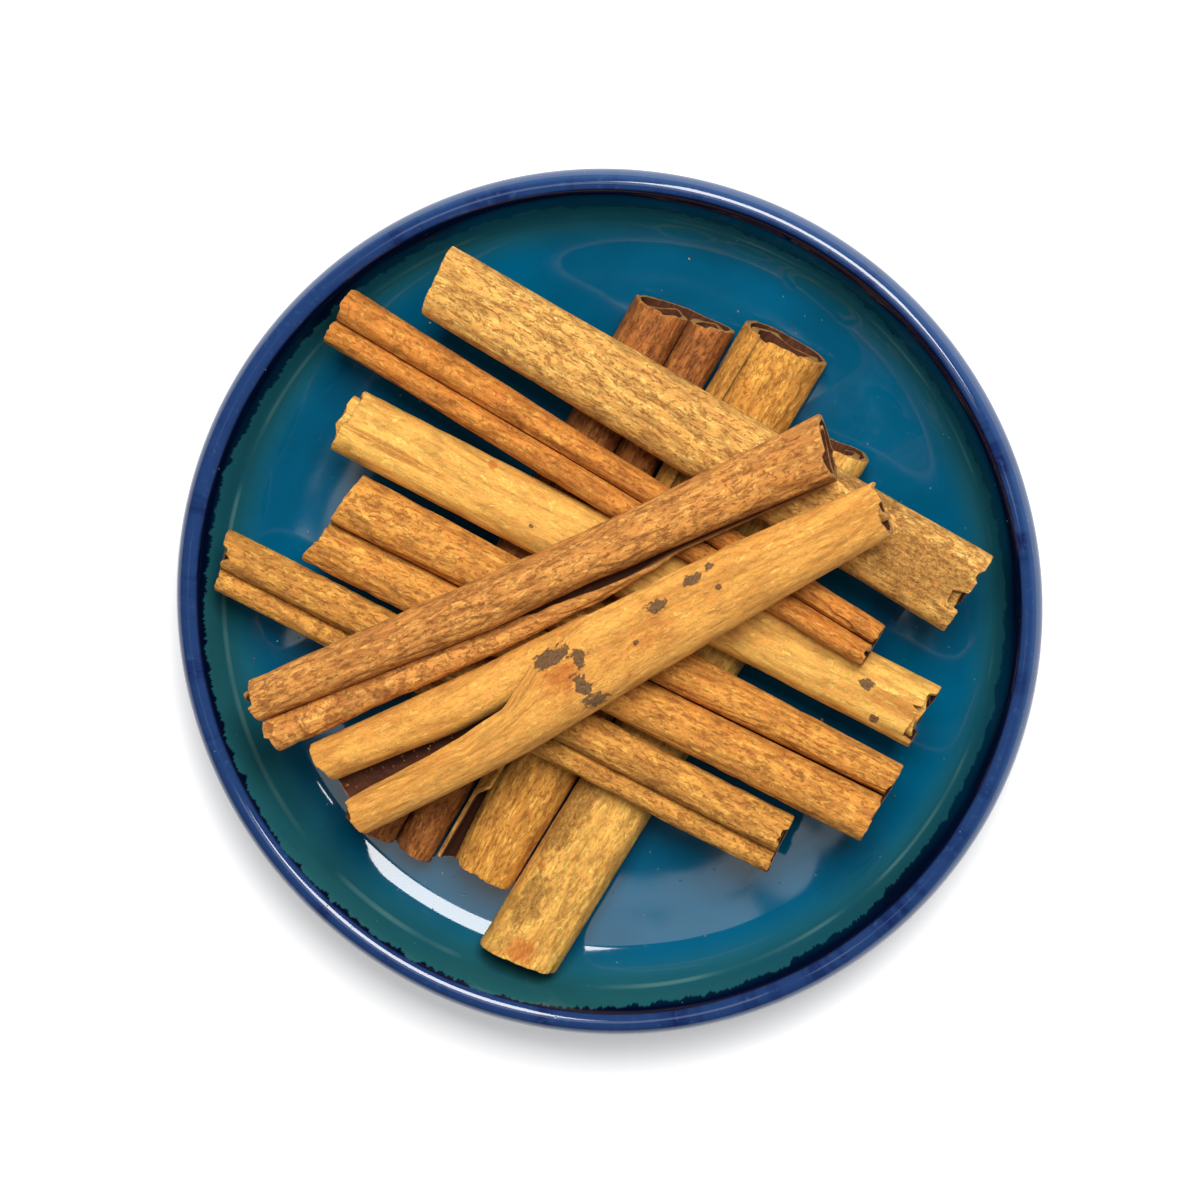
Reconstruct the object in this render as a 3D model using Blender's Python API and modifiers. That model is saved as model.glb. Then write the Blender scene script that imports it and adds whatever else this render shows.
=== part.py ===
"""A stack of ten rolled cinnamon bark sticks lying in three layers in a small glazed dish.

The dish is one turned solid. Each stick is one sheet of bark, drawn as an open ribbon whose
cross-section curls in from both edges, then thickened. Sizes are in millimetres in the
tables below and are turned into metres where the meshes are made. The origin is at the
middle of the dish's foot, +Z is up, and +Y points to the far side of the dish.
"""

import math

import bpy
from mathutils import Vector

MM = 0.001

# The dish, as radius and height along its section.
DISH_STEPS = 56
FLOOR = [(0.0, 6.0), (20.0, 6.2), (40.0, 6.7), (46.5, 7.4)]
WALL = [(49.2, 8.9), (50.5, 11.0), (51.5, 14.0), (52.6, 16.8)]
LIP = [(53.3, 17.7), (54.3, 18.0), (55.2, 17.6), (55.9, 16.3), (56.0, 15.0)]
OUTSIDE = [(55.2, 12.4), (52.5, 8.4), (46.5, 4.2), (36.5, 2.0)]
FOOT = [(35.0, 0.0), (32.0, 0.0), (31.0, 1.6), (0.0, 1.6)]

# The bark.
BARK = 0.8
PITCH = 1.25
SLOT = 0.35
DEGREES_PER_SEGMENT = 36.0
ALONG = 4

DISH_COLOUR = (0.01, 0.1, 0.16)
PALE_BARK = (0.55, 0.31, 0.11)
GOLDEN_BARK = (0.46, 0.22, 0.07)
RED_BARK = (0.36, 0.14, 0.05)


def curl(radius, half_turns):
    """A spiral as (length, degrees) arcs, each half turn tighter than the last by half a pitch."""
    arcs = []
    while half_turns > 0.01:
        part = min(1.0, half_turns)
        arcs.append((part * math.pi * radius, part * 180.0))
        radius -= PITCH / 2
        half_turns -= part
    return arcs


def double_roll(width, left_share, left_turns=2.4, right_turns=2.4, slot=SLOT):
    """Two rolls side by side, sharing one flat sheet: the arcs of the left and the right half."""
    left_size = (width - slot) * left_share
    right_size = (width - slot) * (1 - left_share)
    left = (left_size - BARK + PITCH / 2) / 2
    right = (right_size - BARK + PITCH / 2) / 2
    reach = (left + right - PITCH + BARK + slot) / 2
    return [(reach, 0.0)] + curl(left, left_turns), [(reach, 0.0)] + curl(right, right_turns)


def single_roll(width, height, flap=150.0, sprung=0.0, layers=2):
    """One flattened roll: the left half winds inward, the right half laps over it and stops.

    `sprung` is how much wider than the roll's own pitch the lapping half stands off.
    """
    inner = (height - BARK - PITCH) / 2
    outer = inner + PITCH / 2 + sprung
    flat = max(0.3, width - BARK - inner - outer)
    left = [(flat / 2, 0.0), (math.pi * inner, 180.0)]
    for layer in range(1, layers + 1):
        radius = inner - layer * PITCH / 2
        left += [(flat, 0.0), (math.pi * radius, 180.0)]
    return left, [(flat / 2, 0.0), (math.radians(flap) * outer, flap)]


def tucked_roll(roll_radius, reach, lip_radius, lip):
    """One round roll on the left, and a short lip of the same sheet curling up beside it."""
    half_lip = (math.radians(lip / 2) * lip_radius, lip / 2)
    return [(reach, 0.0)] + curl(roll_radius, 2.4), [(reach, 0.0), half_lip, half_lip]


def open_hooks(reach, left, right, turn=270.0):
    """Two hooked lobes with an open slot between them."""
    arcs = []
    for radius in (left, right):
        over = math.pi * radius
        under = math.radians(turn - 180.0) * (radius - 0.5)
        arcs.append([(reach, 0.0), (over, 180.0), (under, turn - 180.0), (0.4, 12.0)])
    return arcs[0], arcs[1]


def lapped_hooks(reach, inner, outer, over, end):
    """The right lobe carried over the left one by `over`, its edge turned down by `end` degrees."""
    left = [(reach, 0.0), (math.pi * inner, 180.0)]
    left += [(math.radians(100.0) * (inner - 0.5), 100.0), (0.6, 15.0)]
    right = [(reach, 0.0), (math.pi * outer, 180.0)]
    right += [(over, 2.0), (math.radians(end) * (outer - 0.3), end)]
    return left, right


# Each stick: its two ends, the slant of each cut in degrees, the rolled sections from start to
# end as (place along, left and right arcs, width, height, shift to the right), whether the seam
# faces down, and its colour. Left and right are as seen from above, looking along the stick.
STICKS = {
    "stick_bottom_left": dict(
        start=(10.0, 37.7, 10.9), end=(-29.4, -31.9, 11.2), slant=(9, 0),
        sections=[(0.0, double_roll(13.6, 0.44), 13.6, 7.4, 0.0),
                  (1.0, double_roll(12.7, 0.42), 12.7, 7.4, 0.0)],
        seam_down=False, colour=RED_BARK),
    "stick_bottom_middle": dict(
        start=(23.2, 34.3, 11.4), end=(-17.8, -35.6, 11.4), slant=(2, 3),
        sections=[(0.0, single_roll(11.9, 8.2, 155.0), 11.9, 8.2, 0.0),
                  (0.86, single_roll(10.8, 8.0, 140.0, 0.4), 10.8, 8.0, 0.0),
                  (0.88, single_roll(10.7, 8.0, 100.0, 0.5), 10.7, 8.0, 0.0),
                  (1.0, single_roll(10.4, 7.8, 95.0, 1.1), 10.4, 7.8, 0.0)],
        seam_down=False, colour=GOLDEN_BARK),
    "stick_bottom_right": dict(
        start=(29.2, 21.4, 10.9), end=(-12.1, -46.9, 12.3), slant=(6, 10),
        sections=[(0.0, single_roll(10.4, 7.8), 10.4, 7.8, 0.0),
                  (1.0, single_roll(10.6, 7.6), 10.6, 7.6, 0.0)],
        seam_down=True, colour=PALE_BARK),
    "stick_middle_far": dict(
        start=(-21.3, 42.0, 20.0), end=(46.9, 2.4, 20.0), slant=(7, -3),
        sections=[(0.0, single_roll(9.7, 7.5), 9.7, 7.5, 0.0),
                  (1.0, single_roll(11.7, 8.0), 11.7, 8.0, 0.0)],
        seam_down=True, colour=PALE_BARK),
    "stick_middle_red": dict(
        start=(-34.4, 37.3, 18.1), end=(35.1, -3.9, 24.8), slant=(0, 3),
        sections=[(0.0, double_roll(8.0, 0.58, 2.0, 1.7), 8.0, 5.4, 0.0),
                  (0.5, double_roll(7.2, 0.48, 1.9, 1.9), 7.2, 5.2, 0.0),
                  (1.0, double_roll(6.1, 0.46, 1.6, 1.7), 6.1, 4.8, 0.0)],
        seam_down=False, colour=RED_BARK),
    "stick_middle_pale": dict(
        start=(-33.0, 23.9, 19.2), end=(41.4, -13.5, 19.2), slant=(-3, -2),
        sections=[(0.0, single_roll(8.9, 6.8), 8.9, 6.8, 0.0),
                  (1.0, single_roll(9.0, 6.8), 9.0, 6.8, 0.0)],
        seam_down=True, colour=PALE_BARK),
    "stick_middle_broad": dict(
        start=(-35.0, 11.4, 19.7), end=(36.0, -24.7, 19.7), slant=(-9, -3),
        sections=[(0.0, double_roll(13.7, 0.55), 13.7, 7.4, 0.0),
                  (0.6, double_roll(12.0, 0.47), 12.0, 7.2, 0.0),
                  (1.0, double_roll(11.2, 0.4, 2.2, 2.4), 11.2, 7.0, 0.0)],
        seam_down=False, colour=GOLDEN_BARK),
    "stick_middle_near": dict(
        start=(-49.7, 5.7, 18.6), end=(23.0, -30.5, 18.7), slant=(11, 0),
        sections=[(0.0, double_roll(8.2, 0.63, 2.2, 1.5), 8.2, 5.4, 0.0),
                  (1.0, double_roll(8.6, 0.63, 2.2, 1.5), 8.6, 5.4, 0.0)],
        seam_down=False, colour=GOLDEN_BARK),
    "stick_top_far": dict(
        start=(-43.0, -13.8, 25.6), end=(29.8, 21.2, 30.0), slant=(-3, -12),
        sections=[(0.0, double_roll(10.0, 0.55, 2.4, 2.0), 10.0, 6.6, 0.0),
                  (0.4, double_roll(9.8, 0.69, 2.4, 1.7), 9.8, 7.2, 0.5),
                  (0.58, tucked_roll(3.1, 2.0, 1.3, 160.0), 9.0, 7.2, 0.3),
                  (0.72, tucked_roll(3.2, 0.4, 3.6, 50.0), 7.8, 7.0, -0.4),
                  (1.0, tucked_roll(3.6, 0.4, 4.2, 40.0), 8.9, 7.5, -0.5)],
        seam_down=False, colour=RED_BARK),
    "stick_top_near": dict(
        start=(-33.8, -23.3, 24.4), end=(36.4, 14.4, 31.7), slant=(3, -5),
        sections=[(0.0, open_hooks(4.0, 2.6, 2.35), 13.6, 6.2, 0.0),
                  (0.23, lapped_hooks(2.9, 2.9, 2.9, 0.2, 50.0), 12.9, 6.9, 0.6),
                  (0.32, lapped_hooks(2.5, 2.7, 3.3, 1.4, 20.0), 12.5, 7.5, 0.7),
                  (0.4, lapped_hooks(2.0, 2.6, 3.7, 3.0, 30.0), 12.0, 7.9, 0.5),
                  (0.5, lapped_hooks(1.5, 2.7, 3.75, 3.3, 50.0), 11.3, 7.9, 0.3),
                  (0.75, lapped_hooks(0.9, 2.7, 3.7, 2.6, 65.0), 9.7, 7.6, -0.2),
                  (1.0, lapped_hooks(0.4, 2.2, 3.0, 1.2, 65.0), 7.4, 6.6, 0.0)],
        seam_down=False, colour=PALE_BARK),
}


def segment_counts(sections):
    """How many segments each arc gets, the same in every section of one stick."""
    counts = []
    for side in (0, 1):
        longest = max(len(section[1][side]) for section in sections)
        row = []
        for index in range(longest):
            turns = [abs(s[1][side][index][1]) for s in sections if index < len(s[1][side])]
            row.append(max(1, round(max(turns) / DEGREES_PER_SEGMENT)))
        counts.append(row)
    return counts


def blended(first, second, share):
    """The arcs part way from one section to the next, arc by arc."""
    longest = max(len(first), len(second))
    first = first + [(0.05, 1.0)] * (longest - len(first))
    second = second + [(0.05, 1.0)] * (longest - len(second))
    mix = []
    for one, other in zip(first, second):
        length = one[0] + (other[0] - one[0]) * share
        degrees = one[1] + (other[1] - one[1]) * share
        mix.append((length, degrees))
    return mix


def trace(arcs, counts, side):
    """Points along one half, with a fixed number of segments in each arc."""
    across, up, heading = 0.0, 0.0, 0.0
    points = []
    arcs = arcs + [(0.05, 1.0)] * (len(counts) - len(arcs))
    for (length, degrees), count in zip(arcs, counts):
        turn = math.radians(degrees) / count
        step = length / count
        chord = step if abs(turn) < 1e-6 else 2 * step / turn * math.sin(turn / 2)
        for _ in range(count):
            across += chord * math.cos(heading + turn / 2)
            up += chord * math.sin(heading + turn / 2)
            heading += turn
            points.append((side * across, up))
    return points


def section_at(stick, counts, share):
    """The section at a place along the stick, centred and brought to its width and height."""
    sections = stick["sections"]
    place = 0
    while place < len(sections) - 2 and share > sections[place + 1][0]:
        place += 1
    before, after = sections[place], sections[place + 1]
    local = (share - before[0]) / (after[0] - before[0])
    width = before[2] + (after[2] - before[2]) * local
    height = before[3] + (after[3] - before[3]) * local
    shift = before[4] + (after[4] - before[4]) * local
    halves = []
    for side in (0, 1):
        arcs = blended(before[1][side], after[1][side], local)
        halves.append(trace(arcs, counts[side], -1 if side == 0 else 1))
    points = list(reversed(halves[0])) + [(0.0, 0.0)] + halves[1]
    left = min(point[0] for point in points)
    right = max(point[0] for point in points)
    low = min(point[1] for point in points)
    high = max(point[1] for point in points)
    wide = (width - BARK) / (right - left)
    tall = (height - BARK) / (high - low)
    tall_sign = -tall if stick["seam_down"] else tall
    centred = []
    for across, up in points:
        sideways = (across - (left + right) / 2) * wide + shift
        centred.append((sideways, (up - (low + high) / 2) * tall_sign))
    return centred


def lengthwise(stick):
    """The places along the stick that get a ring of points."""
    places = {round(section[0], 4) for section in stick["sections"]}
    stations = sorted(places)
    rings = []
    for first, second in zip(stations, stations[1:]):
        count = max(2, round((second - first) * ALONG))
        rings += [first + (second - first) * step / count for step in range(count)]
    return rings + [1.0]


def make_stick(name, stick, collection):
    start = Vector(stick["start"])
    end = Vector(stick["end"])
    length = (end - start).length
    forward = (end - start).normalized()
    sideways = Vector((0, 0, 1)).cross(forward).normalized()
    upward = forward.cross(sideways)
    counts = segment_counts(stick["sections"])
    vertices = []
    rings = lengthwise(stick)
    for share in rings:
        slant = math.radians(stick["slant"][0] * (1 - share) + stick["slant"][1] * share)
        for across, up in section_at(stick, counts, share):
            along = share * length + across * math.tan(slant)
            point = start + forward * along - sideways * across + upward * up
            vertices.append(point * MM)
    row = len(vertices) // len(rings)
    faces = []
    for ring in range(len(rings) - 1):
        for index in range(row - 1):
            corner = ring * row + index
            faces.append((corner, corner + 1, corner + row + 1, corner + row))
    body = solid(name, vertices, faces, collection, stick["colour"], 0.75)
    bark = body.modifiers.new("Bark", "SOLIDIFY")
    bark.thickness = BARK * MM
    bark.offset = 0.0
    return body


def make_dish(collection):
    profile = FLOOR + WALL + LIP + OUTSIDE + FOOT
    vertices = [(radius * MM, 0.0, height * MM) for radius, height in profile]
    edges = [(index, index + 1) for index in range(len(profile) - 1)]
    mesh = bpy.data.meshes.new("dish")
    mesh.from_pydata(vertices, edges, [])
    dish = bpy.data.objects.new("dish", mesh)
    collection.objects.link(dish)
    dish.data.materials.append(material("dish_glaze", DISH_COLOUR, 0.15))
    turn = dish.modifiers.new("Turn", "SCREW")
    turn.axis = "Z"
    turn.angle = math.radians(360)
    turn.steps = DISH_STEPS
    turn.render_steps = DISH_STEPS
    turn.use_merge_vertices = True
    turn.merge_threshold = 0.00001
    turn.use_smooth_shade = True
    return dish


def material(name, colour, roughness):
    made = bpy.data.materials.new(name)
    made.use_nodes = True
    shader = made.node_tree.nodes["Principled BSDF"]
    shader.inputs["Base Color"].default_value = (*colour, 1.0)
    shader.inputs["Roughness"].default_value = roughness
    return made


def solid(name, vertices, faces, collection, colour, roughness):
    mesh = bpy.data.meshes.new(name)
    mesh.from_pydata(vertices, [], faces)
    mesh.update()
    body = bpy.data.objects.new(name, mesh)
    collection.objects.link(body)
    body.data.materials.append(material(name + "_bark", colour, roughness))
    return body


def main():
    for item in list(bpy.data.objects):
        bpy.data.objects.remove(item)
    collection = bpy.data.collections.new("cinnamon_stack")
    bpy.context.scene.collection.children.link(collection)
    make_dish(collection)
    for name, stick in STICKS.items():
        make_stick(name, stick, collection)


main()
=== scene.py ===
"""A stack of cinnamon sticks in a glazed dish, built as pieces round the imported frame.

Each stick is one sheet of bark, curled in from both edges, with wrinkles, cracks and broken
ends in its mesh. The dish is turned from one profile. The tables of sticks and of the dish's
profile are in millimetres, in the frame's own axes.
"""

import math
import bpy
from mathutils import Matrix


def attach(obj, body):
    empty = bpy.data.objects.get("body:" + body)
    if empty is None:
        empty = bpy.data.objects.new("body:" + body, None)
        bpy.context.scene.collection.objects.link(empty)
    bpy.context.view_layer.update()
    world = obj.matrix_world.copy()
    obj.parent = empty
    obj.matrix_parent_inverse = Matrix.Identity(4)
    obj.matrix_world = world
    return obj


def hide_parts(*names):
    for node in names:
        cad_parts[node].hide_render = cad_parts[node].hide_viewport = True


bl_info = {
    "name": "Cinnamon Sticks in a Dish",
    "version": (1, 0, 0),
    "blender": (4, 5, 0),
    "location": "3D View > Sidebar > Cinnamon",
    "description": "Builds rolled cinnamon bark sticks stacked in a small glazed dish",
    "category": "Add Mesh",
}

import bpy
import numpy as np
from mathutils import Matrix, Vector

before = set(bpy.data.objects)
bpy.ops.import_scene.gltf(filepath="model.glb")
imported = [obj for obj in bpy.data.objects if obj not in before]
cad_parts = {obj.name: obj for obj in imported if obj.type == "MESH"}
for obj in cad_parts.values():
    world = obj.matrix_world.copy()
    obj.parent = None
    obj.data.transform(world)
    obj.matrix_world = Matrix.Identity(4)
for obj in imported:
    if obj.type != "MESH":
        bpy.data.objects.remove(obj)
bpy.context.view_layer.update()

MM = 0.001


def rgb(red, green, blue):
    """A colour given in the usual 0 to 255 steps, as the linear values that a shader takes."""
    linear = []
    for step in (red, green, blue):
        value = step / 255
        linear.append(value / 12.92 if value <= 0.04045 else ((value + 0.055) / 1.055) ** 2.4)
    return tuple(linear)


# ---------------------------------------------------------------- settings

def a_length(name, description, millimetres):
    return bpy.props.FloatProperty(
        name=name, description=description, default=millimetres * MM, unit="LENGTH")


def an_angle(name, description, degrees):
    return bpy.props.FloatProperty(
        name=name, description=description, default=math.radians(degrees), subtype="ANGLE")


def an_amount(name, description, default):
    return bpy.props.FloatProperty(name=name, description=description, default=default)


def a_count(name, description, default):
    return bpy.props.IntProperty(name=name, description=description, default=default)


def a_colour(name, description, *steps):
    return bpy.props.FloatVectorProperty(
        name=name, description=description, subtype="COLOR", default=rgb(*steps))


class BarkSettings(bpy.types.PropertyGroup):
    thickness: a_length("Thickness", "Thickness of the bark sheet", 0.8)
    wobble: a_length("Wobble", "Depth of the broad dips along a stick", 0.28)
    raggedness: a_length("Raggedness", "How far the broken ends wander", 0.16)
    close_spacing: a_length("Close Spacing", "Mesh spacing where the sheet shows", 0.25)
    wide_spacing: a_length("Wide Spacing", "Mesh spacing where the sheet is rolled in", 1.0)
    ring_spacing: a_length("Ring Spacing", "Mesh spacing along the stick", 0.4)
    # The inner side's own darker brown, made darker still to paint the shade in the slots between the
    # rolls.
    inner_colour_and_shade: a_colour("Inner Bark", "Colour of the sheet's inner side", 88, 44, 18)
    cut_colour: a_colour("Cut Edge", "Colour of the broken and cut edges", 216, 158, 86)
    crust_colour: a_colour("Crust", "Colour of the grey crusty patches", 116, 92, 66)
    rust_colour: a_colour("Rust", "Colour of the reddish stains", 190, 100, 36)


class DishSettings(bpy.types.PropertyGroup):
    lip_wave: a_length("Lip Wave", "How far the hand-made lip is out of round", 0.15)
    steps: a_count("Steps", "Segments round the dish", 400)
    teal: a_colour("Teal", "Glaze on the floor", 0, 78, 108)
    green: a_colour("Green", "Thin glaze towards the wall", 34, 88, 90)
    navy: a_colour("Navy", "Pooled glaze under the lip", 2, 10, 34)
    lip_blue: a_colour("Lip Blue", "Glaze on the lip", 30, 55, 100)
    brush_blue: a_colour("Brush Blue", "Darker strokes on the lip", 10, 24, 72)
    clay: a_colour("Clay", "Bare clay of the foot", 196, 170, 140)


class CrumbSettings(bpy.types.PropertyGroup):
    on_floor: a_count("On Floor", "Crumbs on the dish's floor", 55)
    in_slot: a_count("In Slot", "Crumbs in the open slot of the near top stick", 34)
    size: a_length("Size", "Half the length of the largest crumb", 0.3)
    seed: a_count("Seed", "Changes where crumbs lie", 7)


class StageSettings(bpy.types.PropertyGroup):
    view_width: a_length("View Width", "Width of the view at the dish", 154.2)
    distance: a_length("Distance", "Camera distance", 700.0)
    tilt: an_angle("Tilt", "Camera's lean away from straight down", 9)
    turn: an_angle("Turn", "Side that the camera leans to", 135)
    key_power: an_amount("Key Power", "Power of the main soft light, in watts", 14.6)
    fill_power: an_amount("Fill Power", "Power of the overhead soft light, in watts", 0.7)
    world_strength: an_amount("World Strength", "Light from all round", 0.31)


# ---------------------------------------------------------------- rolled sections, as in the frame

BARK = 0.8           # thickness of the sheet
PITCH = 1.25         # from one winding to the next
SLOT = 0.35          # between the two rolls of a stick
INNER_WINDINGS = 2   # of a single roll, besides its outer one
HOOK_TURN = 270.0    # degrees that an open stick's edges turn


def curl(radius, half_turns):
    """A spiral as (length, degrees) arcs, each half turn tighter than the last by half a pitch."""
    arcs = []
    while half_turns > 0.01:
        part = min(1.0, half_turns)
        arcs.append((part * math.pi * radius, part * 180.0))
        radius -= PITCH / 2
        half_turns -= part
    return arcs


def double_roll(width, left_share, left_turns=2.4, right_turns=2.4):
    """Two rolls side by side, sharing one flat sheet: the arcs of the left and the right half."""
    left_size = (width - SLOT) * left_share
    right_size = (width - SLOT) * (1 - left_share)
    left = (left_size - BARK + PITCH / 2) / 2
    right = (right_size - BARK + PITCH / 2) / 2
    reach = (left + right - PITCH + BARK + SLOT) / 2
    return [(reach, 0.0)] + curl(left, left_turns), [(reach, 0.0)] + curl(right, right_turns)


def single_roll(width, height, flap=150.0, sprung=0.0):
    """One flattened roll: the left half winds inward, the right half laps over it and stops."""
    inner = (height - BARK - PITCH) / 2
    outer = inner + PITCH / 2 + sprung
    flat = max(0.3, width - BARK - inner - outer)
    left = [(flat / 2, 0.0), (math.pi * inner, 180.0)]
    for layer in range(1, INNER_WINDINGS + 1):
        radius = inner - layer * PITCH / 2
        left += [(flat, 0.0), (math.pi * radius, 180.0)]
    return left, [(flat / 2, 0.0), (math.radians(flap) * outer, flap)]


def tucked_roll(roll_radius, reach, lip_radius, lip):
    """One round roll on the left, and a short lip of the same sheet curling up beside it."""
    half_lip = (math.radians(lip / 2) * lip_radius, lip / 2)
    return [(reach, 0.0)] + curl(roll_radius, 2.4), [(reach, 0.0), half_lip, half_lip]


def open_hooks(reach, left, right):
    """Two hooked lobes with an open slot between them."""
    arcs = []
    for radius in (left, right):
        back = HOOK_TURN - 180.0
        arcs.append([(reach, 0.0), (math.pi * radius, 180.0),
                     (math.radians(back) * (radius - 0.5), back), (0.4, 12.0)])
    return arcs[0], arcs[1]


def lapped_hooks(reach, inner, outer, over, end):
    """The right lobe carried over the left one by `over`, its edge turned down by `end` degrees."""
    left = [(reach, 0.0), (math.pi * inner, 180.0)]
    left += [(math.radians(100.0) * (inner - 0.5), 100.0), (0.6, 15.0)]
    right = [(reach, 0.0), (math.pi * outer, 180.0)]
    right += [(over, 2.0), (math.radians(end) * (outer - 0.3), end)]
    return left, right


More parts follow.
